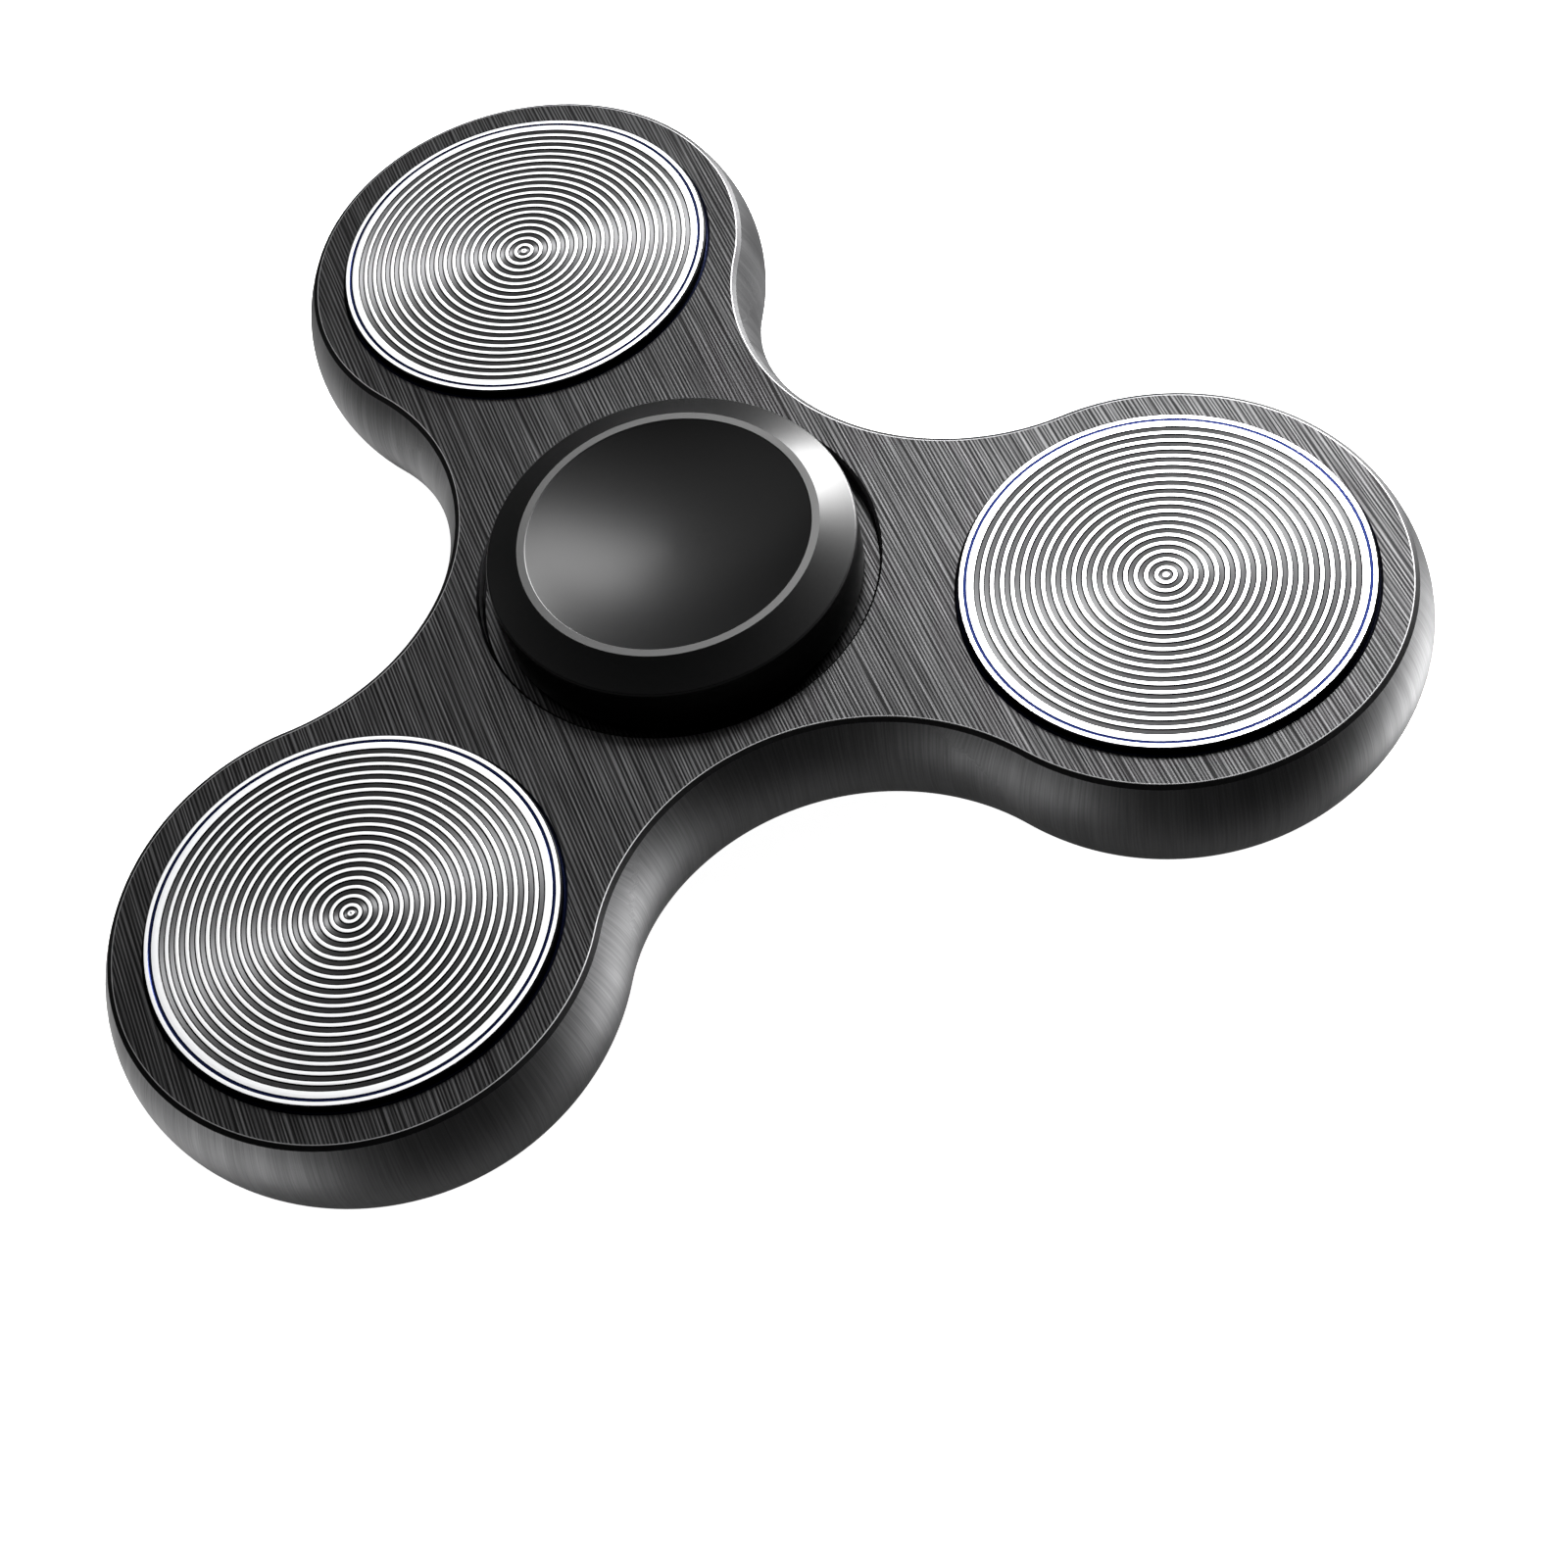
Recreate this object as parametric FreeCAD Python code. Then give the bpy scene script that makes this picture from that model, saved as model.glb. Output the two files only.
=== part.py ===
import FreeCAD, Part

import math
import os

# A three-lobed fidget spinner: a frame with three pressed-in weights turns on a shielded ball
# bearing, which two screwed finger caps clamp between them.
# Lengths are in millimetres. Z is the spin axis, and z = 0 is the middle of the frame's thickness.
# The weights lie at 90, 210 and 330 degrees round the axis.

V = FreeCAD.Vector
AXIS = V(0, 0, 1)
ORIGIN = V(0, 0, 0)

# Frame
arm_radius = 26.25  # spin axis to the centre of a weight
lobe_radius = 13.85  # a lobe at its widest, halfway up its wall
waist_radius = arm_radius - lobe_radius  # the hollow between two lobes, tangent to both
frame_thickness = 6.9
wall_bulge = 0.9  # how far the wall swells between its edge and its middle
bevel_width = 0.3
bevel_depth = 0.16
lobe_angles = (90, 210, 330)
waist_angles = (30, 150, 270)

# Bearing, the inch size of 1/4 x 1/2 x 3/16 with ten balls of 5/64
bearing_bore = 3.175  # radii here, not diameters
bearing_outside = 6.35
bearing_width = 4.762
ball_count = 10
ball_radius = 0.992
pitch_radius = (bearing_bore + bearing_outside) / 2
inner_land = 4.05  # outside of the inner ring, beside its track
outer_land = 5.45  # inside of the outer ring, beside its track
track_radius = 1.03  # section of both ball tracks
track_clearance = 0.015
ring_corner = 0.2
seat_radius = 5.85  # where a shield sits in the outer ring
seat_z = 1.45  # the shoulder that a shield sits on
clip_groove_radius = 6.02
clip_groove_low = 1.64
clip_groove_high = 1.92
clip_inside = 5.6
clip_gap_deg = 32
fit_gap = 0.02  # between a small part and the seat it lies in
shield_bore = 4.15
shield_sheet = 0.18
shield_rise = 0.15  # how far its middle stands out from its rim
shield_joggle = (5.15, 5.35)
cage_inside = 4.3
cage_outside = 5.2
cage_low = -0.75
cage_high = 1.25
pocket_clearance = 0.05

# The round recess in each face of the frame, as deep as leaves the bearing flush with its floor
recess_radius = 11.0
recess_depth = (frame_thickness - bearing_width) / 2
mouth_break = 0.15  # edge break at the mouth of the recess and of the weight bores

# Weights
weight_radius = 10.89
weight_proud = 0.5
weight_seat = 10.95  # radius of the pressed belt inside the frame
weight_bevel = 0.15
rim_land = 0.28  # the flat outside the last groove
groove_count = 19
groove_pitch = 0.54
groove_depth = 0.12
groove_floor = 0.2
groove_flank = 0.05
dimple_radius = 0.16
dimple_depth = 0.1

# Finger caps
cap_radius = 10.08
cap_height = 3.2  # rim above the frame's face
cap_shoulder = 2.27  # foot of the sloping ring above the frame's face
rim_outside = 8.19
rim_inside = 7.77
dish_depth = 1.5
cap_clearance = 0.3  # under the cap, over the recess floor
boss_radius = 3.95
post_radius = bearing_bore - 0.01
post_short = 0.18  # between the post's end and the other cap
thread_radius = 2.0  # M4, with no helix
thread_gap = 0.02
stud_length = 3.8
socket_depth = 4.0
cap_break = 0.12

face_z = frame_thickness / 2
half_width = bearing_width / 2


def polar(radius, degrees, z=0.0):
    angle = math.radians(degrees)
    return V(radius * math.cos(angle), radius * math.sin(angle), z)


def turned(points, sweep=360):
    """A solid of revolution about Z from a closed outline of (radius, z) points."""
    corners = [V(radius, 0, z) for radius, z in points]
    face = Part.Face(Part.makePolygon(corners + corners[:1]))
    return face.revolve(ORIGIN, AXIS, sweep)


def flipped(shape):
    """The same shape turned over, top to bottom."""
    return shape.copy().rotate(ORIGIN, V(1, 0, 0), 180)


def track(radius):
    """The ring that a ball track of this centre radius cuts out of a bearing ring."""
    return Part.makeTorus(radius, track_radius)


# The frame


def outline_arcs():
    """The frame's six arcs in order round it: centre, radius, side (+1 lobe, -1 waist), start, sweep."""
    arcs = []
    for lobe, waist in zip(lobe_angles, (150, 270, 30)):
        arcs.append((polar(arm_radius, lobe), lobe_radius, 1, lobe - 120, 240))
        arcs.append((polar(arm_radius, waist), waist_radius, -1, waist + 120, 120))
    return arcs


def wall_faces(centre, radius, side, start, sweep):
    """Bevel, barrel wall and bevel of one arc, turned about that arc's own centre."""
    edge_z = face_z - bevel_depth
    insets = ((wall_bulge + bevel_width, face_z), (wall_bulge, edge_z), (0, 0))
    insets += ((wall_bulge, -edge_z), (wall_bulge + bevel_width, -face_z))
    top, high, middle, low, bottom = [centre + polar(radius - side * i, start, z) for i, z in insets]
    edges = (
        Part.LineSegment(top, high).toShape(),
        Part.Arc(high, middle, low).toShape(),
        Part.LineSegment(low, bottom).toShape(),
    )
    return [edge.revolve(centre, AXIS, sweep) for edge in edges]


def flat_face(z):
    """One of the frame's two flat faces, inside the bevel."""
    inset = wall_bulge + bevel_width
    edges = []
    for centre, radius, side, start, sweep in outline_arcs():
        angles = (start, start + sweep / 2, start + sweep)
        points = [centre + polar(radius - side * inset, angle, z) for angle in angles]
        edges.append(Part.Arc(*points).toShape())
    return Part.Face(Part.Wire(Part.__sortEdges__(edges)))


def blank():
    faces = [flat_face(face_z), flat_face(-face_z)]
    for arc in outline_arcs():
        faces += wall_faces(*arc)
    shell = Part.makeShell(faces)
    shell.sewShape()
    solid = Part.Solid(shell)
    if solid.Volume < 0:
        solid.reverse()
    return solid


def weight_bore():
    """What is cut from a lobe: a plain bore with both mouths broken."""
    over = 1.0
    mouth = weight_seat + mouth_break
    half = [(0, face_z + over), (mouth + over, face_z + over), (weight_seat, face_z - mouth_break)]
    return turned(half + [(r, -z) for r, z in reversed(half)])


def centre_bore():
    """The bearing's bore with the finger caps' recess at both ends."""
    floor = face_z - recess_depth
    over = 1.0
    mouth = recess_radius + mouth_break
    half = [
        (0, face_z + over),
        (mouth + over, face_z + over),
        (recess_radius, face_z - mouth_break),
        (recess_radius, floor),
        (bearing_outside, floor),
    ]
    return turned(half + [(r, -z) for r, z in reversed(half)])


def frame():
    solid = blank()
    for angle in lobe_angles:
        solid = solid.cut(weight_bore().translate(polar(arm_radius, angle)))
    return solid.cut(centre_bore())


# The weights


def weight(angle):
    """A turned slug with ring grooves in both faces. Its belt is pressed into the lobe's bore."""
    top = face_z + weight_proud
    half = [(0, top - dimple_depth), (dimple_radius, top)]
    last = weight_radius - weight_bevel - rim_land
    first = last - (groove_count - 1) * groove_pitch
    reach = groove_floor / 2 + groove_flank
    for step in range(groove_count):
        middle = first + step * groove_pitch - reach
        half += [
            (middle - reach, top),
            (middle - groove_floor / 2, top - groove_depth),
            (middle + groove_floor / 2, top - groove_depth),
            (middle + reach, top),
        ]
    belt = face_z - mouth_break
    half += [
        (weight_radius - weight_bevel, top),
        (weight_radius, top - weight_bevel),
        (weight_radius, belt + 0.05),
        (weight_seat, belt),
    ]
    slug = turned(half + [(r, -z) for r, z in reversed(half)])
    return slug.translate(polar(arm_radius, angle))


# The bearing


def outer_ring():
    half = [
        (outer_land, seat_z),
        (seat_radius, seat_z),
        (seat_radius, clip_groove_low),
        (clip_groove_radius, clip_groove_low),
        (clip_groove_radius, clip_groove_high),
        (seat_radius, clip_groove_high),
        (seat_radius, half_width),
        (bearing_outside - ring_corner, half_width),
        (bearing_outside, half_width - ring_corner),
    ]
    ring = turned(half + [(r, -z) for r, z in reversed(half)])
    bottom = pitch_radius + ball_radius + track_clearance
    return ring.cut(track(bottom - track_radius))


def inner_ring():
    half = [
        (inner_land, half_width - ring_corner / 2),
        (inner_land - ring_corner / 2, half_width),
        (bearing_bore + ring_corner / 2, half_width),
        (bearing_bore, half_width - ring_corner / 2),
    ]
    ring = turned(half + [(r, -z) for r, z in reversed(half)])
    bottom = pitch_radius - ball_radius - track_clearance
    return ring.cut(track(bottom + track_radius))


def ball(number):
    centre = polar(pitch_radius, 360 * number / ball_count)
    return Part.makeSphere(ball_radius, centre)


def cage():
    """A crown retainer: a closed ring above the balls, with prongs that reach down between them."""
    ring = turned(
        [
            (cage_inside, cage_low),
            (cage_outside, cage_low),
            (cage_outside, cage_high),
            (cage_inside, cage_high),
        ]
    )
    for number in range(ball_count):
        centre = polar(pitch_radius, 360 * number / ball_count)
        ring = ring.cut(Part.makeSphere(ball_radius + pocket_clearance, centre))
    return ring


def shield():
    """A stamped washer whose rim lies on the outer ring's shoulder and whose middle is dished out."""
    inner, outer = shield_joggle
    rim = seat_radius - fit_gap
    under = [
        (shield_bore, seat_z + shield_rise),
        (inner, seat_z + shield_rise),
        (outer, seat_z),
        (rim, seat_z),
    ]
    lean = 0.08  # keeps the sheet's thickness across the joggle
    above = [
        (rim, seat_z + shield_sheet),
        (outer + lean, seat_z + shield_sheet),
        (inner + lean, seat_z + shield_rise + shield_sheet),
        (shield_bore, seat_z + shield_rise + shield_sheet),
    ]
    return turned(under + above)


def clip():
    """A split ring that snaps into the outer ring's groove and holds a shield down."""
    low = clip_groove_low + fit_gap
    high = clip_groove_high - fit_gap
    outside = clip_groove_radius - fit_gap
    outline = [(clip_inside, low), (outside, low), (outside, high), (clip_inside, high)]
    return turned(outline, 360 - clip_gap_deg)


# The finger caps


def cap_body():
    """A cap without its post or stud: dish, rim, sloping ring, side wall and the boss on the inner ring."""
    rim_z = face_z + cap_height
    shoulder_z = face_z + cap_shoulder
    under_z = face_z - recess_depth + cap_clearance
    outline = [
        (rim_inside, rim_z),
        (rim_outside, rim_z),
        (cap_radius - cap_break / 2, shoulder_z),
        (cap_radius, shoulder_z - cap_break),
        (cap_radius, under_z + cap_break),
        (cap_radius - cap_break, under_z),
        (boss_radius, under_z),
        (boss_radius, half_width),
        (0, half_width),
        (0, rim_z - dish_depth),
    ]
    corners = [V(radius, 0, z) for radius, z in outline]
    # The dish is part of a sphere: its chord is the rim's inner radius and its sagitta the depth.
    sphere = (rim_inside**2 + dish_depth**2) / (2 * dish_depth)
    half_angle = math.asin(rim_inside / sphere) / 2
    between = V(sphere * math.sin(half_angle), 0, rim_z - dish_depth + sphere * (1 - math.cos(half_angle)))
    dish = Part.Arc(corners[-1], between, corners[0]).toShape()
    edges = Part.makePolygon(corners).Edges + [dish]
    return Part.Face(Part.Wire(edges)).revolve(ORIGIN, AXIS, 360)


def top_cap():
    """The cap with the threaded stud."""
    stud = Part.makeCylinder(thread_radius - thread_gap, stud_length, V(0, 0, half_width), V(0, 0, -1))
    return cap_body().fuse(stud).removeSplitter()


def bottom_cap():
    """The cap with the post that fills the bearing's bore and takes the stud."""
    length = bearing_width - post_short
    post = Part.makeCylinder(post_radius, length, V(0, 0, -half_width))
    top = half_width - post_short
    socket = Part.makeCylinder(thread_radius, socket_depth, V(0, 0, top), V(0, 0, -1))
    return flipped(cap_body()).fuse(post).cut(socket).removeSplitter()


def assembly():
    parts = {
        "frame": frame(),
        "bearing_outer_ring": outer_ring(),
        "bearing_inner_ring": inner_ring(),
        "ball_cage": cage(),
        "shield_top": shield(),
        "shield_bottom": flipped(shield()),
        "shield_clip_top": clip(),
        "shield_clip_bottom": flipped(clip()),
        "top_cap": top_cap(),
        "bottom_cap": bottom_cap(),
    }
    for number, angle in enumerate(lobe_angles, 1):
        parts[f"weight_{number}"] = weight(angle)
    for number in range(ball_count):
        parts[f"ball_{number + 1:02d}"] = ball(number)
    return parts


def main():
    os.makedirs("parts", exist_ok=True)
    for name, shape in assembly().items():
        solids = shape.Solids
        print(f"{name}: {len(solids)} solid, {shape.Volume:.2f} mm3, valid {shape.isValid()}")
        Part.makeCompound(solids).exportStep(f"parts/{name}.step")


main()
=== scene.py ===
import math

import bmesh
import bpy
from mathutils import Matrix, Vector


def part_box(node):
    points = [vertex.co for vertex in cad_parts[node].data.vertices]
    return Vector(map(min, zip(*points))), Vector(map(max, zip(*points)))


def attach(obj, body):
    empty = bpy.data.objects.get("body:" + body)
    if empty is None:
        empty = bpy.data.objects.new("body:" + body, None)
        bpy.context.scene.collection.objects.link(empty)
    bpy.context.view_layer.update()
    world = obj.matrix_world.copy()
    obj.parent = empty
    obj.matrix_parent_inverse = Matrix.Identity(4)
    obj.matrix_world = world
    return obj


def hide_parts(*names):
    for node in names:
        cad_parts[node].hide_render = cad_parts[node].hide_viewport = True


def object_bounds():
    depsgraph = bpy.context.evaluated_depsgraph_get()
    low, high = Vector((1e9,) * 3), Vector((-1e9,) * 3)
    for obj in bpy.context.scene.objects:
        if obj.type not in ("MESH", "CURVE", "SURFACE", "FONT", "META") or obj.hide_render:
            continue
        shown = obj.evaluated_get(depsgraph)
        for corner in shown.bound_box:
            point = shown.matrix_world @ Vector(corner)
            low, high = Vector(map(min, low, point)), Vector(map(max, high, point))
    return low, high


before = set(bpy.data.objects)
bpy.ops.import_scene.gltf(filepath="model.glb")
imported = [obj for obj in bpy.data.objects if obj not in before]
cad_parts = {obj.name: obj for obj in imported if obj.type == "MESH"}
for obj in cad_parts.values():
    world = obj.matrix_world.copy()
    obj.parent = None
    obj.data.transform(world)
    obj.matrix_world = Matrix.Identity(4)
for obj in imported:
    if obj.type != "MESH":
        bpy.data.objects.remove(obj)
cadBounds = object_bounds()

mm = 0.001  # lengths below are in millimetres, and each piece is scaled to metres at its end
upAxis = (0, 0, 1)

lobeAngles = (90, 210, 330)  # degrees round the spin axis, in the order of weight_1 to weight_3


def nodeBox(node):
    low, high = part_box(node)
    return low / mm, high / mm


frameLow, frameHigh = nodeBox("frame")
weightLow, weightHigh = nodeBox("weight_1")
capLow, capHigh = nodeBox("top_cap")
ringLow, ringHigh = nodeBox("bearing_outer_ring")

faceHeight = frameHigh.z  # the frame's flat faces lie at plus and minus this
armLength = (weightLow.y + weightHigh.y) / 2
lobeRadius = frameHigh.y - armLength
weightTop = weightHigh.z
seatRadius = (weightHigh.x - weightLow.x) / 2
capRadius = capHigh.x
capTop = capHigh.z
bearingRadius = ringHigh.x
bearingTop = ringHigh.z


def polar(radius, degrees, z=0.0):
    angle = math.radians(degrees)
    return Vector((radius * math.cos(angle), radius * math.sin(angle), z))


# Mesh helpers

def linkMesh(bm, name, materials):
    mesh = bpy.data.meshes.new(name)
    bm.to_mesh(mesh)
    bm.free()
    for material in materials:
        mesh.materials.append(material)
    piece = bpy.data.objects.new(name, mesh)
    bpy.context.scene.collection.objects.link(piece)
    return piece


def spinOutline(bm, outline, segments, centre=(0, 0, 0)):
    # a solid of revolution from (radius, height) points, closed where the outline meets the axis
    centre = Vector(centre)
    turned = bmesh.new()  # a bmesh of its own, because spin slows down in a full one
    verts = [turned.verts.new(centre + Vector((radius, 0, height))) for radius, height in outline]
    edges = [turned.edges.new(pair) for pair in zip(verts, verts[1:])]
    bmesh.ops.spin(
        turned, geom=verts + edges, cent=centre, axis=upAxis,
        angle=math.tau, steps=segments, use_merge=True)
    mesh = bpy.data.meshes.new("turned")
    turned.to_mesh(mesh)
    turned.free()
    bm.from_mesh(mesh)
    bpy.data.meshes.remove(mesh)


def arcPoints(start, end, middle, count):
    # points from start to end on the circle through all three, both ends left out
    (ax, ay), (bx, by), (cx, cy) = start, end, middle
    scale = 2 * (ax * (by - cy) + bx * (cy - ay) + cx * (ay - by))
    aa, bb, cc = ax * ax + ay * ay, bx * bx + by * by, cx * cx + cy * cy
    ox = (aa * (by - cy) + bb * (cy - ay) + cc * (ay - by)) / scale
    oy = (aa * (cx - bx) + bb * (ax - cx) + cc * (bx - ax)) / scale
    radius = math.hypot(ax - ox, ay - oy)
    first = math.atan2(ay - oy, ax - ox)
    sweep = math.atan2(by - oy, bx - ox) - first
    sweep = (sweep + math.pi) % math.tau - math.pi
    angles = [first + sweep * step / (count + 1) for step in range(1, count + 1)]
    return [(ox + radius * math.cos(a), oy + radius * math.sin(a)) for a in angles]


def mirrored(half):
    # an outline from the top to the middle, carried on to the bottom
    return half + [(radius, -height) for radius, height in reversed(half)]


sharpAngle = math.radians(14)  # an edge that turns more than this is hard


def finishPiece(bm, name, materials, body, node, chooseMaterial):
    # closes seams and poles, turns the faces outwards, marks hard edges and hands the mesh over
    bmesh.ops.remove_doubles(bm, verts=bm.verts, dist=0.0004)
    bmesh.ops.recalc_face_normals(bm, faces=bm.faces)
    bm.normal_update()
    for face in bm.faces:
        face.smooth = True
        face.material_index = chooseMaterial(face)
    for edge in bm.edges:
        level = [abs(face.normal.z) > 0.9999 for face in edge.link_faces]
        edge.smooth = len(set(level)) < 2 and edge.calc_face_angle(0) < sharpAngle
    bmesh.ops.scale(bm, vec=(mm, mm, mm), verts=bm.verts)
    piece = linkMesh(bm, name, materials)
    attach(piece, body)
    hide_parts(node)
    print(f"{name}: {len(piece.data.polygons)} faces")
    return piece


# Shader helpers

class Wire:
    # an output socket that can be used in a sum
    def __init__(self, finish, socket):
        self.finish = finish
        self.socket = socket

    def maths(self, operation, *values):
        return self.finish.add("ShaderNodeMath", {"operation": operation}, dict(enumerate(values)))

    def __add__(self, other):
        return self.maths("ADD", self, other)

    def __radd__(self, other):
        return self.maths("ADD", other, self)

    def __mul__(self, other):
        return self.maths("MULTIPLY", self, other)

    def __rmul__(self, other):
        return self.maths("MULTIPLY", other, self)

    def __pow__(self, other):
        return self.maths("POWER", self, other)

    def __rpow__(self, other):
        return self.maths("POWER", other, self)


class Finish:
    # one material and the ways to add to it
    def __init__(self, name, **constants):
        self.material = bpy.data.materials.new(name)
        self.material.use_nodes = True
        self.tree = self.material.node_tree
        self.shader = self.tree.nodes["Principled BSDF"]
        for socket, value in constants.items():
            self.shader.inputs[socket.replace("_", " ")].default_value = value

    def add(self, kind, settings=None, values=None, output=0):
        node = self.tree.nodes.new(kind)
        for key, value in (settings or {}).items():
            setattr(node, key, value)
        for key, value in (values or {}).items():
            self.feed(node.inputs[key], value)
        return Wire(self, node.outputs[output])

    def feed(self, socket, value):
        if isinstance(value, Wire):
            self.tree.links.new(value.socket, socket)
        else:
            socket.default_value = value

    def place(self, scale=(1, 1, 1), centre=(0, 0, 0)):
        # Object coordinates in millimetres from centre, then stretched
        coordinates = self.add("ShaderNodeTexCoord", output="Object")
        moved = self.add("ShaderNodeVectorMath", {"operation": "SUBTRACT"},
                         {0: coordinates, 1: Vector(centre) * mm})
        stretch = Vector(scale) / mm
        return self.add("ShaderNodeVectorMath", {"operation": "MULTIPLY"}, {0: moved, 1: stretch})

    def noise(self, place, detail=2.0):
        return self.add("ShaderNodeTexNoise", {"noise_dimensions": "3D"},
                        {"Vector": place, "Scale": 1.0, "Detail": detail})

    def follow(self, attribute, scale):
        # a place stored on the piece itself, in millimetres, then stretched
        stored = self.add("ShaderNodeAttribute", {"attribute_name": attribute}, output="Vector")
        return self.add("ShaderNodeVectorMath", {"operation": "MULTIPLY"}, {0: stored, 1: Vector(scale)})

    def radius(self, centre=(0, 0, 0)):
        # distance from an axis along Z, in millimetres
        return self.add("ShaderNodeVectorMath", {"operation": "LENGTH"},
                        {0: self.place((1, 1, 0), centre)}, output="Value")

    def ringNoise(self, centre, scale, detail=2.0):
        return self.add("ShaderNodeTexNoise", {"noise_dimensions": "1D"},
                        {"W": self.radius(centre), "Scale": scale, "Detail": detail})

    def spread(self, value, low, high, newLow=0.0, newHigh=1.0):
        return self.add("ShaderNodeMapRange", {"clamp": True},
                        {"Value": value, "From Min": low, "From Max": high,
                         "To Min": newLow, "To Max": newHigh})

    def blendColours(self, amount, first, second):
        # the Mix node's colour sockets share their names with others, so they go by number
        return self.add("ShaderNodeMix", {"data_type": "RGBA"},
                        {0: amount, 6: (*first, 1), 7: (*second, 1)}, output=2)

    def patchyRoughness(self, pattern, low, high):
        return self.spread(pattern, 0.3, 0.7, low, high)

    def bump(self, height, distance):
        normal = self.add("ShaderNodeBump", None,
                          {"Height": height, "Distance": distance * mm, "Strength": 1.0})
        self.feed(self.shader.inputs["Normal"], normal)

    def surface(self, colour, roughness):
        self.feed(self.shader.inputs["Base Color"], colour)
        self.feed(self.shader.inputs["Roughness"], roughness)
        return self.material


# Finishes

brushing = {
    "dark": (0.005, 0.005, 0.0051),
    "light": (0.064, 0.064, 0.0653),
    "fineWidth": 0.056,  # across one scratch
    "fineLength": 5.0,
    "spacing": 0.21,  # from one scratch to the next
    "stray": 9,  # radians by which the wave strays
    "strayWidth": 0.45,
    "strayLength": 22.0,
    "coarseWidth": 0.3,  # the slow change of polish across the strokes
    "coarseLength": 14.0,
    "depth": 0.001,
}


def brushedFace():
    # straight strokes along Y through a dark anodised skin
    finish = Finish("brushedFace", Metallic=1.0)

    def streaks(name, detail):
        size = (1 / brushing[name + "Width"], 1 / brushing[name + "Length"], 1)
        return finish.noise(finish.place(size), detail)

    fine = streaks("fine", 1)
    coarse = streaks("coarse", 2)
    # the scratches lie close together, so an even wave carries them and a slow noise makes it stray
    across = finish.add("ShaderNodeSeparateXYZ", None, {"Vector": finish.place()}, output="X")
    phase = across * (math.tau / brushing["spacing"]) + streaks("stray", 0) * brushing["stray"]
    wave = phase.maths("SINE", phase)
    strokes = finish.spread(fine * 0.5 + wave * 0.13 + 0.25, 0.36, 0.72)
    finish.bump(strokes, brushing["depth"])
    colour = finish.blendColours(strokes ** 1.5, brushing["dark"], brushing["light"])
    return finish.surface(colour, finish.patchyRoughness(coarse, 0.3, 0.42))


def brushedWall():
    # finer strokes straight down the wall, nearly lost in the black
    finish = Finish("brushedWall", Metallic=1.0)
    fine = finish.noise(finish.follow("strokePlace", (11, 11, 0.22)), detail=1)
    soft = finish.noise(finish.follow("strokePlace", (1.1, 1.1, 0.06)))
    strokes = finish.spread(fine * 0.85 + soft * 0.15, 0.34, 0.68)
    finish.bump(strokes, 0.0007)
    colour = finish.blendColours(strokes, (0.076, 0.076, 0.0775), (0.106, 0.106, 0.108))
    return finish.surface(colour, finish.patchyRoughness(soft, 0.46, 0.54))


def darkBevel():
    # the plain dark band between the brushed face and the wall
    finish = Finish("darkBevel", Metallic=1.0)
    grain = finish.noise(finish.place((4, 4, 4)), detail=3)
    finish.bump(grain, 0.0008)
    colour = finish.blendColours(grain, (0.012, 0.012, 0.0123), (0.018, 0.018, 0.0184))
    return finish.surface(colour, finish.patchyRoughness(grain, 0.44, 0.5))


def bareEdge(name, tone, roughness):
    # metal cut bright through the black skin
    finish = Finish(name, Metallic=1.0)
    grain = finish.noise(finish.place((6, 6, 6)), detail=4)
    finish.bump(grain, 0.0005)
    dull = [part * 0.8 for part in tone]
    colour = finish.blendColours(grain, dull, tone)
    return finish.surface(colour, finish.patchyRoughness(grain, roughness, roughness + 0.08))


def darkBore():
    # bore walls and broken mouths, in the frame's own black skin
    finish = Finish("darkBore", Metallic=1.0)
    rings = finish.noise(finish.place((0.8, 0.8, 22)), detail=2)
    finish.bump(rings, 0.0012)
    colour = finish.blendColours(rings, (0.01, 0.01, 0.011), (0.03, 0.03, 0.031))
    return finish.surface(colour, finish.patchyRoughness(rings, 0.34, 0.46))


def turnedLand(number, centre):
    # the tops of the rings, with the tool's own finer rings on them
    finish = Finish(f"turnedLand{number}", Metallic=1.0)
    toolMarks = finish.ringNoise(centre, 16, 3)
    wear = finish.noise(finish.place((0.7, 0.7, 0.7), centre), detail=3)
    finish.bump(toolMarks, 0.0016)
    colour = finish.blendColours(toolMarks * 0.6 + wear * 0.4, (0.64, 0.645, 0.656), (0.76, 0.76, 0.765))
    return finish.surface(colour, finish.patchyRoughness(toolMarks, 0.3, 0.38))


def shadedGroove(number, centre):
    # the floors between the rings, duller, spread out sideways by their tool marks, and coloured far darker
    # than the ring tops as painted shade in the grooves
    finish = Finish(f"shadedGroove{number}", Metallic=1.0, Anisotropic=1.0, Anisotropic_Rotation=0.25)
    toolMarks = finish.ringNoise(centre, 22, 3)
    stain = finish.noise(finish.place((1.4, 1.4, 1.4), centre), detail=3)
    finish.bump(toolMarks, 0.001)
    pattern = stain * 0.4 + toolMarks * 0.6
    # painted shade: the floor colour sits far below the ring tops' colour to darken the grooves, and the
    # stain noise varies it at random
    colour = finish.blendColours(pattern, (0.06, 0.06, 0.0612), (0.108, 0.108, 0.1102))
    return finish.surface(colour, finish.patchyRoughness(stain, 0.64, 0.7))


def flankShade():
    # the steep sides of the grooves, coloured near black as painted shade in the grooves
    finish = Finish("flankShade", Metallic=1.0)
    shadeGrain = finish.noise(finish.place((3, 3, 3)), detail=3)
    finish.bump(shadeGrain, 0.001)
    # painted shade: the flanks get a near-black colour that stands in for the shade inside the grooves
    colour = finish.blendColours(shadeGrain, (0.003, 0.003, 0.0031), (0.009, 0.009, 0.0092))
    return finish.surface(colour, finish.patchyRoughness(shadeGrain, 0.3, 0.4))


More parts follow.
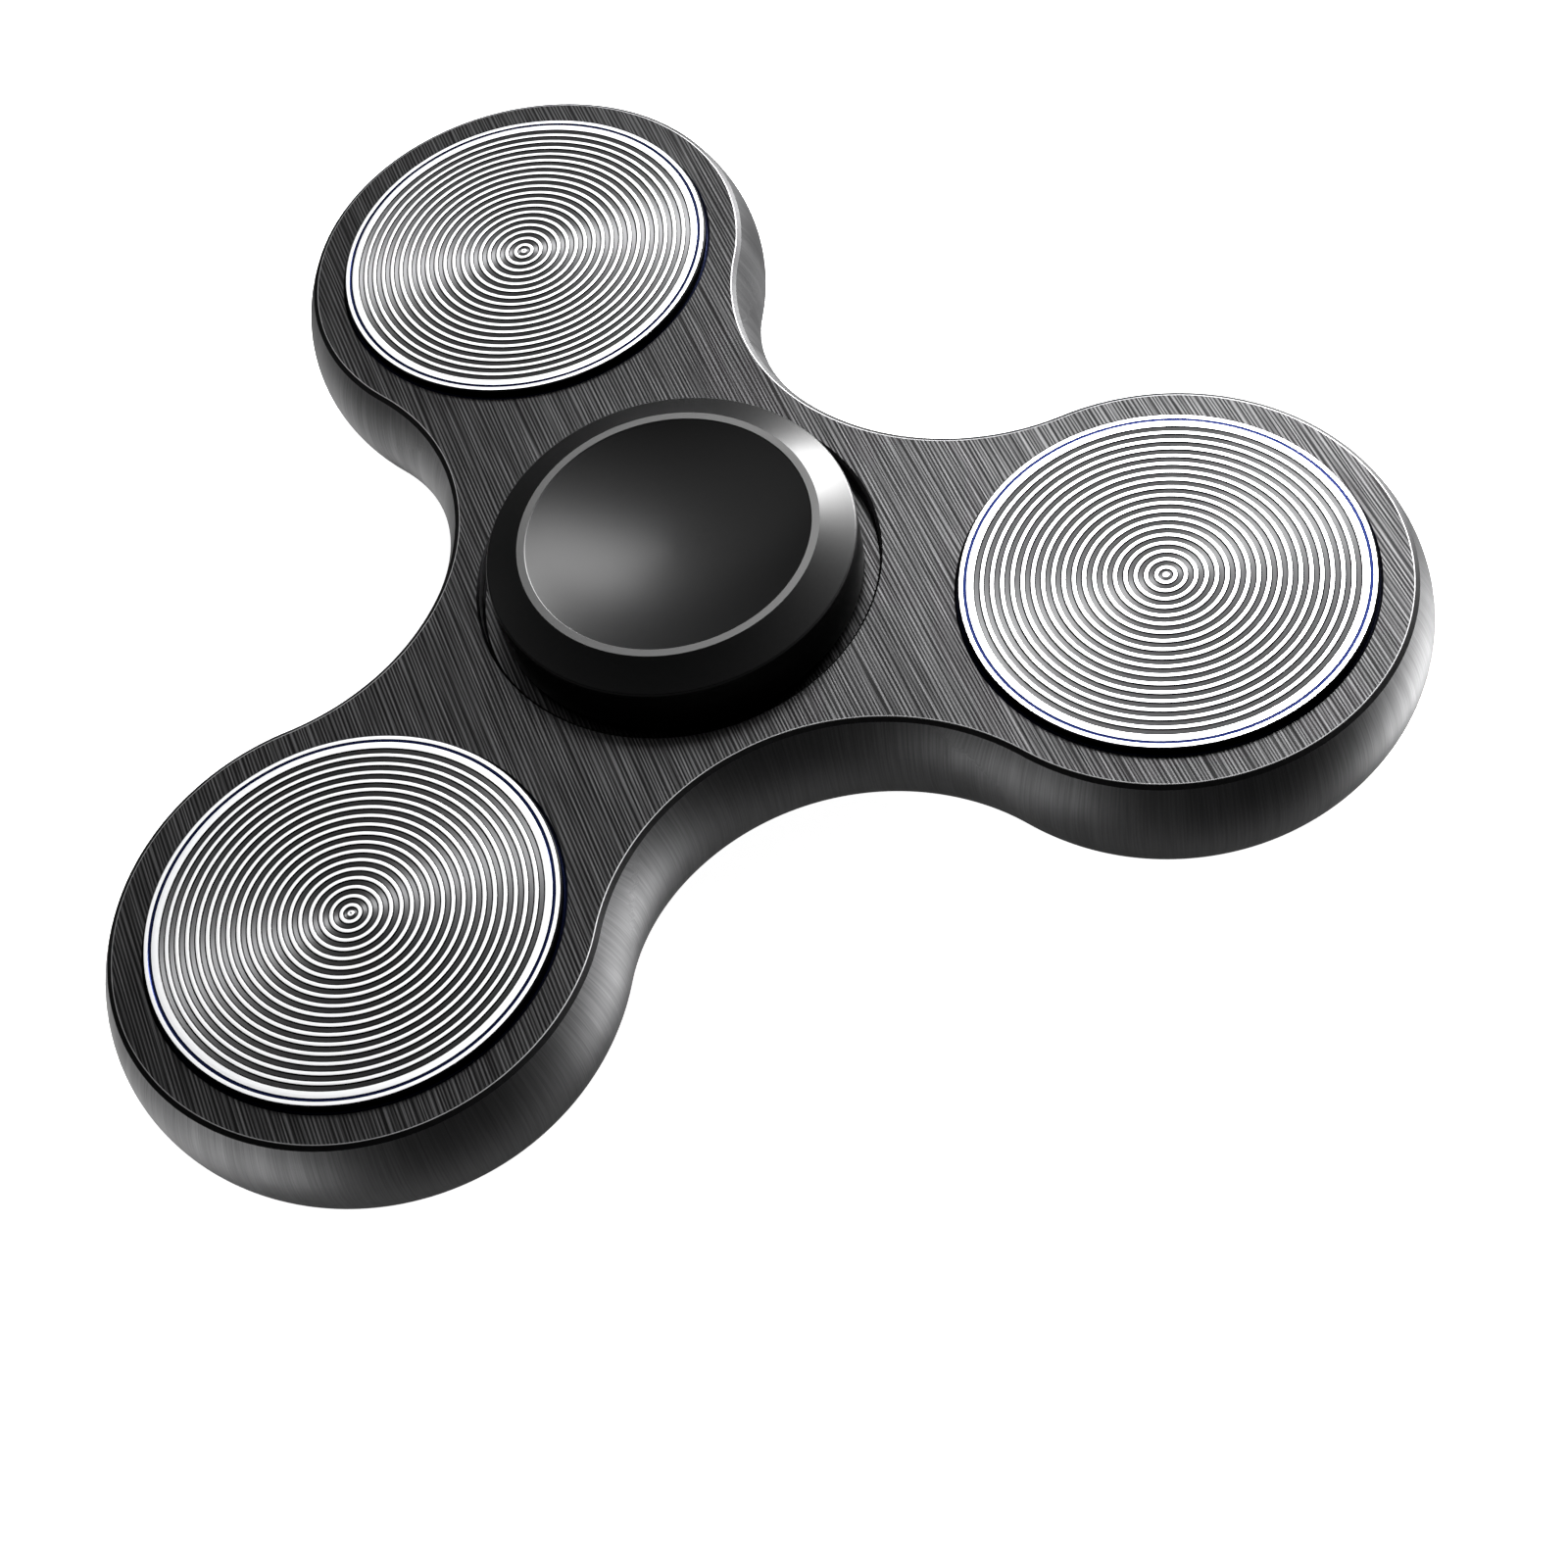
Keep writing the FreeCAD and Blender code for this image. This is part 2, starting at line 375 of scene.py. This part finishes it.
def bluedLine(number, centre):
    # a thin blued line inside the rim, and the rim's own side
    finish = Finish(f"bluedLine{number}", Metallic=1.0)
    toolMarks = finish.ringNoise(centre, 14)
    finish.bump(toolMarks, 0.0012)
    colour = finish.blendColours(toolMarks, (0.0016, 0.0025, 0.012), (0.0045, 0.008, 0.036))
    return finish.surface(colour, finish.patchyRoughness(toolMarks, 0.2, 0.32))


def capSkin():
    # satin black over turned metal
    finish = Finish("capSkin", Metallic=0.0, Specular_IOR_Level=0.17)
    grain = finish.noise(finish.place((9, 9, 9)), detail=3)
    rings = finish.ringNoise((0, 0, 0), 7, 2)
    finish.bump(rings, 0.00015)
    colour = finish.blendColours(grain, (0.0012, 0.0012, 0.0013), (0.003, 0.003, 0.0031))
    return finish.surface(colour, finish.patchyRoughness(grain, 0.32, 0.34))


def innerSteel(name, low, high, roughness, scale=(5, 5, 5)):
    # ground steel for the bearing's parts, which the caps hide
    finish = Finish(name, Metallic=1.0)
    grain = finish.noise(finish.place(scale), detail=3)
    finish.bump(grain, 0.0006)
    return finish.surface(finish.blendColours(grain, low, high),
                          finish.patchyRoughness(grain, roughness, roughness + 0.12))


# The frame

frameShape = {
    "bulge": 0.9,  # how far the wall swells between its edge and its middle
    "bevelWidth": 0.3,
    "bevelDepth": 0.16,
    "brightEdge": 0.1,  # radius of the bright rounded line round each face
    "edgeSteps": 4,
    "edgeTurn": 32,  # degrees the line turns down from the face
    "recessRadius": 11.0,
    "recessCorner": 0.12,
    "mouthBreak": 0.15,
    "wallSteps": 22,
    "lobeSegments": 150,
    "waistSegments": 68,
    "boreSegments": 192,
}


def wallOutline():
    # (inset from the outline's widest line, height) down the wall from face to face
    shape = frameShape
    faceInset = shape["bulge"] + shape["bevelWidth"]
    edgeHeight = faceHeight - shape["bevelDepth"]
    bright = shape["brightEdge"]
    top = [(faceInset, faceHeight)]
    for step in range(1, shape["edgeSteps"] + 1):
        turn = math.radians(shape["edgeTurn"] * step / shape["edgeSteps"])
        top.append((faceInset - bright * math.sin(turn), faceHeight - bright * (1 - math.cos(turn))))
    steps = shape["wallSteps"]
    barrel = []
    for step in range(steps + 1):
        across = 1 - 2 * step / steps
        barrel.append((shape["bulge"] * across * across, edgeHeight * across))
    return top + barrel + [(inset, -height) for inset, height in reversed(top)]


def buildWall(bm):
    # out round one lobe and back through the waist after it, then two more turned copies
    lobe = lobeAngles[0]
    centre = polar(armLength, lobe)
    verts = [bm.verts.new(centre + polar(lobeRadius - inset, lobe - 120, z)) for inset, z in wallOutline()]
    geometry = verts + [bm.edges.new(pair) for pair in zip(verts, verts[1:])]
    turns = ((lobe, 240, frameShape["lobeSegments"]), (lobe + 60, -120, frameShape["waistSegments"]))
    for bearing, sweep, segments in turns:
        result = bmesh.ops.spin(
            bm, geom=geometry, cent=polar(armLength, bearing), axis=upAxis,
            angle=math.radians(sweep), steps=segments)
        geometry = result["geom_last"]
    third = bm.verts[:] + bm.edges[:] + bm.faces[:]
    bmesh.ops.spin(
        bm, geom=third, cent=(0, 0, 0), axis=upAxis, angle=math.tau * 2 / 3, steps=2, use_duplicate=True)
    bmesh.ops.remove_doubles(bm, verts=bm.verts, dist=0.001)


def buildBores(bm):
    shape = frameShape
    breakDepth = faceHeight - shape["mouthBreak"]
    mouth = seatRadius + shape["mouthBreak"]
    outline = mirrored([(mouth, faceHeight), (seatRadius, breakDepth)])
    for angle in lobeAngles:
        spinOutline(bm, outline, shape["boreSegments"], polar(armLength, angle))
    recess = shape["recessRadius"]
    outline = mirrored([
        (recess + shape["mouthBreak"], faceHeight),
        (recess, breakDepth),
        (recess, bearingTop + shape["recessCorner"]),
        (recess - shape["recessCorner"], bearingTop),
        (bearingRadius, bearingTop),
    ])
    spinOutline(bm, outline, shape["boreSegments"])


def fillFaces(bm):
    # each flat face spans the outline and the four holes in it
    for height in (faceHeight, -faceHeight):
        rims = [edge for edge in bm.edges
                if edge.is_boundary and all(abs(vert.co.z - height) < 0.001 for vert in edge.verts)]
        bmesh.ops.triangle_fill(bm, edges=rims, use_beauty=True, normal=(0, 0, math.copysign(1, height)))


def markStrokes(bm):
    # each point of the wall learns where its stroke crosses the widest line, so strokes run straight
    strokes = bm.verts.layers.float_vector.new("strokePlace")
    hubs = [(polar(armLength, lobe), lobeRadius) for lobe in lobeAngles]
    hubs += [(polar(armLength, lobe + 60), armLength - lobeRadius) for lobe in lobeAngles]
    for vert in bm.verts:
        level = vert.co.xy.to_3d()
        hub, radius = min(hubs, key=lambda pair: abs((level - pair[0]).length - pair[1]))
        crossing = hub + (level - hub).normalized() * radius
        vert[strokes] = (crossing.x, crossing.y, vert.co.z)


def frameMaterial(face):
    # numbers follow the list of materials in buildFrame
    centre = face.calc_center_median()
    if abs(face.normal.z) > 0.999:
        return 0
    holes = [(polar(armLength, angle), seatRadius) for angle in lobeAngles]
    holes.append((Vector((0, 0, 0)), frameShape["recessRadius"]))
    for middle, radius in holes:
        if (centre - middle).xy.length < radius + frameShape["mouthBreak"] * 1.5:
            return 4
    if abs(centre.z) < faceHeight - frameShape["bevelDepth"]:
        return 3
    brightDrop = frameShape["brightEdge"] * (1 - math.cos(math.radians(frameShape["edgeTurn"])))
    return 1 if abs(centre.z) > faceHeight - brightDrop else 2


def buildFrame():
    bm = bmesh.new()
    buildWall(bm)
    buildBores(bm)
    fillFaces(bm)
    markStrokes(bm)
    cutEdge = bareEdge("cutEdge", (0.27, 0.27, 0.274), 0.48)
    materials = [brushedFace(), cutEdge, darkBevel(), brushedWall(), darkBore()]
    piece = finishPiece(bm, "frameShell", materials, "rotor", "frame", frameMaterial)


# The weights

weightShape = {
    "radius": 10.89,
    "bevel": 0.09,
    "rimWidth": 0.2,  # flat between the blued line and the edge
    "lineWidth": 0.19,  # the blued line
    "lineDepth": 0.035,
    "lineSlope": 0.03,
    "lineGap": 0.36,  # from the last groove to the blued line
    "dimpleRadius": 0.13,
    "dimpleRim": 0.17,
    "dimpleDepth": 0.1,
    "rings": 19,
    "pitch": 0.536,
    "grooveWidth": 0.355,
    "grooveDepth": 0.045,
    "flank": 0.078,
    "crown": 0.008,  # how far a ring's top rises in its middle
    "segments": 176,
}


def blueLineEdges():
    outside = weightShape["radius"] - weightShape["bevel"] - weightShape["rimWidth"]
    return outside - weightShape["lineWidth"], outside


def weightOutline():
    shape = weightShape
    top = weightTop
    dimpleFloor = top - shape["dimpleDepth"]
    points = [(0, dimpleFloor), (shape["dimpleRadius"], dimpleFloor), (shape["dimpleRim"], top - 0.01)]
    lineInside, rimInside = blueLineEdges()
    outermost = lineInside - shape["lineGap"]
    grooveFloor = top - shape["grooveDepth"]
    lineFloor = top - shape["lineDepth"]
    for ring in range(shape["rings"]):
        outside = outermost - (shape["rings"] - 1 - ring) * shape["pitch"]
        inside = outside - shape["grooveWidth"]
        before = points[-1][0]
        points += [
            ((before + inside) / 2, top),
            (inside, top - shape["crown"]),
            (inside + shape["flank"], grooveFloor),
            (outside - shape["flank"], grooveFloor),
            (outside, top - shape["crown"]),
        ]
    points += [
        ((outermost + lineInside) / 2, top),
        (lineInside, top - 0.01),
        (lineInside + shape["lineSlope"], lineFloor),
        (rimInside - shape["lineSlope"], lineFloor),
        (rimInside, top - 0.005),
        (rimInside + shape["rimWidth"] * 0.5, top),
        (shape["radius"] - shape["bevel"], top - 0.004),
        (shape["radius"], top - shape["bevel"]),
        (shape["radius"], faceHeight - 0.1),
        (seatRadius, faceHeight - 0.15),
    ]
    return mirrored(points)


def buildWeight(number, angle):
    bm = bmesh.new()
    centre = polar(armLength, angle)
    spinOutline(bm, weightOutline(), weightShape["segments"], centre)
    lineInside, lineOutside = blueLineEdges()

    def chooseMaterial(face):
        # numbers follow the list of materials below
        middle = face.calc_center_median()
        fromAxis = (middle - centre).xy.length
        if fromAxis > weightShape["radius"] - 0.02 or lineInside < fromAxis < lineOutside:
            return 2
        # the steep flanks take the near-black painted shade
        if abs(face.normal.z) < 0.96:
            return 3
        return 0 if abs(middle.z) > weightTop - 0.03 else 1

    materials = [finish(number, centre) for finish in (turnedLand, shadedGroove, bluedLine)]
    materials.append(flankShadeFinish)
    piece = finishPiece(bm, f"weightSlug{number}", materials, "rotor", f"weight_{number}", chooseMaterial)


# The finger caps

capShape = {
    "rimOutside": 8.19,
    "rimInside": 7.77,
    "rimBreak": 0.05,
    "shoulderDrop": 0.93,  # from the rim to the foot of the sloping ring
    "shoulderRound": 0.14,
    "dishDepth": 1.5,
    "dishSteps": 30,
    "underside": bearingTop + 0.3,
    "undersideCorner": 0.12,
    "bossRadius": 3.95,
    "studRadius": 1.98,
    "studTipRadius": 1.78,
    "studTaper": 0.2,  # length of the taper at the stud's tip
    "postRadius": 3.165,
    "socketRadius": 2.0,
    "socketDepth": 4.0,
    "segments": 224,
}


def capOutline(postPoints):
    # from the middle of the dish over the rim, down the side and back in to the post or stud
    shape = capShape
    rimInside, rimOutside = shape["rimInside"], shape["rimOutside"]
    dishFloor = (0, capTop - shape["dishDepth"])
    dishEdge = (rimInside - shape["rimBreak"], capTop - shape["rimBreak"])
    sag = shape["dishDepth"] * 0.25
    middle = (dishEdge[0] / 2, dishFloor[1] + sag)
    shoulder = capTop - shape["shoulderDrop"]
    soft = shape["shoulderRound"]
    slopeStart = (capRadius - soft * 1.1, shoulder + soft * 0.53)
    slopeEnd = (capRadius, shoulder - soft * 0.9)
    points = [dishFloor]
    points += arcPoints(dishFloor, dishEdge, middle, shape["dishSteps"])
    points += [dishEdge, (rimInside, capTop), (rimOutside, capTop), slopeStart]
    points += arcPoints(slopeStart, slopeEnd, (capRadius - soft * 0.28, shoulder), 5)
    points += [
        slopeEnd,
        (capRadius, shape["underside"] + shape["undersideCorner"]),
        (capRadius - shape["undersideCorner"], shape["underside"]),
        (shape["bossRadius"], shape["underside"]),
        (shape["bossRadius"], bearingTop),
    ]
    return points + postPoints


def studOutline():
    radius, tip = capShape["studRadius"], capLow.z
    return [(radius, bearingTop), (radius, tip + capShape["studTaper"]),
            (capShape["studTipRadius"], tip), (0, tip)]


def postOutline():
    # drawn the same way up as the other cap, and turned over later
    radius, socket = capShape["postRadius"], capShape["socketRadius"]
    tip = -nodeBox("bottom_cap")[1].z
    socketEnd = tip + capShape["socketDepth"]
    return [(radius, bearingTop), (radius, tip), (socket, tip), (socket, socketEnd), (0, socketEnd)]


def capMaterial(face):
    # numbers follow the list of materials in buildCap
    middle = face.calc_center_median()
    fromAxis = middle.xy.length
    nearRim = capShape["rimInside"] - 0.06 < fromAxis < capShape["rimOutside"]
    if nearRim and abs(middle.z) > capTop - 0.06:
        return 1
    onShoulder = fromAxis > capRadius - capShape["shoulderRound"] * 1.2 and 0.35 < abs(face.normal.z) < 0.75
    return 2 if onShoulder else 0


def buildCap(name, node, postPoints, upsideDown):
    bm = bmesh.new()
    spinOutline(bm, capOutline(postPoints), capShape["segments"])
    if upsideDown:
        bmesh.ops.rotate(bm, cent=(0, 0, 0), matrix=Matrix.Rotation(math.pi, 3, "X"), verts=bm.verts)
    piece = finishPiece(bm, name, [capFinish, rimFinish, shoulderFinish], "grip", node, capMaterial)


# The bearing's parts keep their own shapes and get ground steel

def finishBearing():
    races = innerSteel("groundRace", (0.55, 0.56, 0.58), (0.72, 0.73, 0.75), 0.16, (0.6, 0.6, 18))
    ballSteel = innerSteel("polishedBall", (0.66, 0.67, 0.69), (0.8, 0.81, 0.83), 0.06)
    stamped = innerSteel("stampedShield", (0.45, 0.45, 0.46), (0.62, 0.62, 0.64), 0.28)
    pressed = innerSteel("pressedCage", (0.42, 0.39, 0.34), (0.6, 0.56, 0.48), 0.3)
    for name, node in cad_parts.items():
        finish = None
        if name.startswith("ball_cage"):
            finish = pressed
        elif name.startswith("ball_"):
            finish = ballSteel
        elif name.startswith("shield"):
            finish = stamped
        elif name.startswith("bearing"):
            finish = races
        if finish:
            node.data.materials.clear()
            node.data.materials.append(finish)


# The stage

stage = {
    "floorSize": 6.0,  # metres across
    "floorTone": 0.82,
    "floorGlow": 0.97,
    "air": 0.07,  # brightness of what surrounds the object
}


def buildStage():
    bm = bmesh.new()
    bmesh.ops.create_circle(bm, cap_ends=True, segments=96, radius=stage["floorSize"] / 2)
    bmesh.ops.translate(bm, vec=(0, 0, cadBounds[0][2]), verts=bm.verts)
    tone = stage["floorTone"]
    paper = Finish("palePaper", Base_Color=(tone, tone, tone, 1), Roughness=0.9, Specular_IOR_Level=0.1,
                   Emission_Color=(1, 1, 1, 1), Emission_Strength=stage["floorGlow"])
    floor = linkMesh(bm, "floor", [paper.material])
    wall = bmesh.new()
    bmesh.ops.create_uvsphere(wall, u_segments=64, v_segments=32, radius=stage["floorSize"] / 2)
    bmesh.ops.reverse_faces(wall, faces=wall.faces)
    backdrop = linkMesh(wall, "backdrop", [paper.material])
    backdrop.visible_diffuse = False
    for sheet in (floor, backdrop):
        sheet.visible_glossy = False  # the metal reflects the panels alone, those below the table too
        sheet.visible_shadow = False


def buildAir():
    world = bpy.data.worlds.new("studio")
    world.use_nodes = True
    tree = world.node_tree
    background = tree.nodes["Background"]
    background.inputs["Strength"].default_value = stage["air"]
    background.inputs["Color"].default_value = (1, 1, 1, 1)
    bpy.context.scene.world = world
    bpy.context.scene.view_settings.view_transform = "Standard"


# bearing is degrees from +X towards +Y, height is degrees above the table, width and tall in metres
lights = {
    "keyPanel": {"bearing": 54, "height": 48, "away": 0.5, "width": 0.23, "tall": 0.17, "glow": 21.0},
    "flashPanel": {"bearing": 37, "height": 20, "away": 0.5, "width": 0.22, "tall": 0.12, "glow": 120.0},
    "broadPanel": {"bearing": 92, "height": 52, "away": 0.5, "width": 0.62, "tall": 0.32, "glow": 1.0},
    "topPanel": {"bearing": 85, "height": 78, "away": 0.5, "width": 0.5, "tall": 0.12, "glow": 0.6},
    "rightPanel": {"bearing": -9, "height": -33, "away": 0.4, "width": 0.25, "tall": 0.22, "glow": 9.0},
    "leftPanel": {"bearing": 148, "height": -36, "away": 0.4, "width": 0.4, "tall": 0.24, "glow": 1.6},
    "cornerPanel": {"bearing": -156, "height": -18, "away": 0.13, "width": 0.085, "tall": 0.055, "glow": 3.6},
    "lowPanel": {"bearing": -95, "height": -58, "away": 0.4, "width": 0.5, "tall": 0.34, "glow": 0.24},
}


def buildLights():
    # glow is how bright a panel looks, so its power grows with its area
    for name, panel in lights.items():
        data = bpy.data.lights.new(name, "AREA")
        data.shape = "RECTANGLE"
        data.size = panel["width"]
        data.size_y = panel["tall"]
        data.energy = panel["glow"] * math.pi * panel["width"] * panel["tall"]
        light = bpy.data.objects.new(name, data)
        direction = polar(math.cos(math.radians(panel["height"])), panel["bearing"],
                          math.sin(math.radians(panel["height"])))
        light.location = direction * panel["away"]
        light.rotation_euler = direction.to_track_quat("Z", "Y").to_euler()
        light.visible_camera = False
        bpy.context.scene.collection.objects.link(light)


view = {
    "heading": 9.174,  # degrees the camera looks off +Y towards +X
    "lookDown": 55.739,
    "lean": 15.037,  # degrees the camera is rolled
    "distance": 140.43,
    "target": (-0.046, -16.034),
    "lens": 63.56,
}


def buildCamera():
    heading, down, lean = (math.radians(view[key]) for key in ("heading", "lookDown", "lean"))
    flat = math.cos(down)
    forward = Vector((math.sin(heading) * flat, math.cos(heading) * flat, -math.sin(down)))
    level = forward.cross(Vector(upAxis)).normalized()
    upright = level.cross(forward)
    up = upright * math.cos(lean) + level * math.sin(lean)
    right = forward.cross(up)
    data = bpy.data.cameras.new("camera")
    data.lens = view["lens"]
    data.clip_start = 0.002
    camera = bpy.data.objects.new("camera", data)
    bpy.context.scene.collection.objects.link(camera)
    target = Vector((*view["target"], weightTop))
    turn = Matrix((right, up, -forward)).transposed().to_4x4()
    camera.matrix_world = Matrix.Translation((target - forward * view["distance"]) * mm) @ turn
    bpy.context.scene.camera = camera


print("frame")
buildFrame()
print("weights")
flankShadeFinish = flankShade()
for number, angle in enumerate(lobeAngles, 1):
    buildWeight(number, angle)
print("finger caps")
capFinish = capSkin()
rimFinish = bareEdge("bareRim", (0.06, 0.06, 0.06), 0.44)
shoulderFinish = bareEdge("wornShoulder", (0.05, 0.05, 0.05), 0.36)
buildCap("capWithStud", "top_cap", studOutline(), False)
buildCap("capWithPost", "bottom_cap", postOutline(), True)
print("bearing")
finishBearing()
print("stage")
buildStage()
buildAir()
buildLights()
buildCamera()
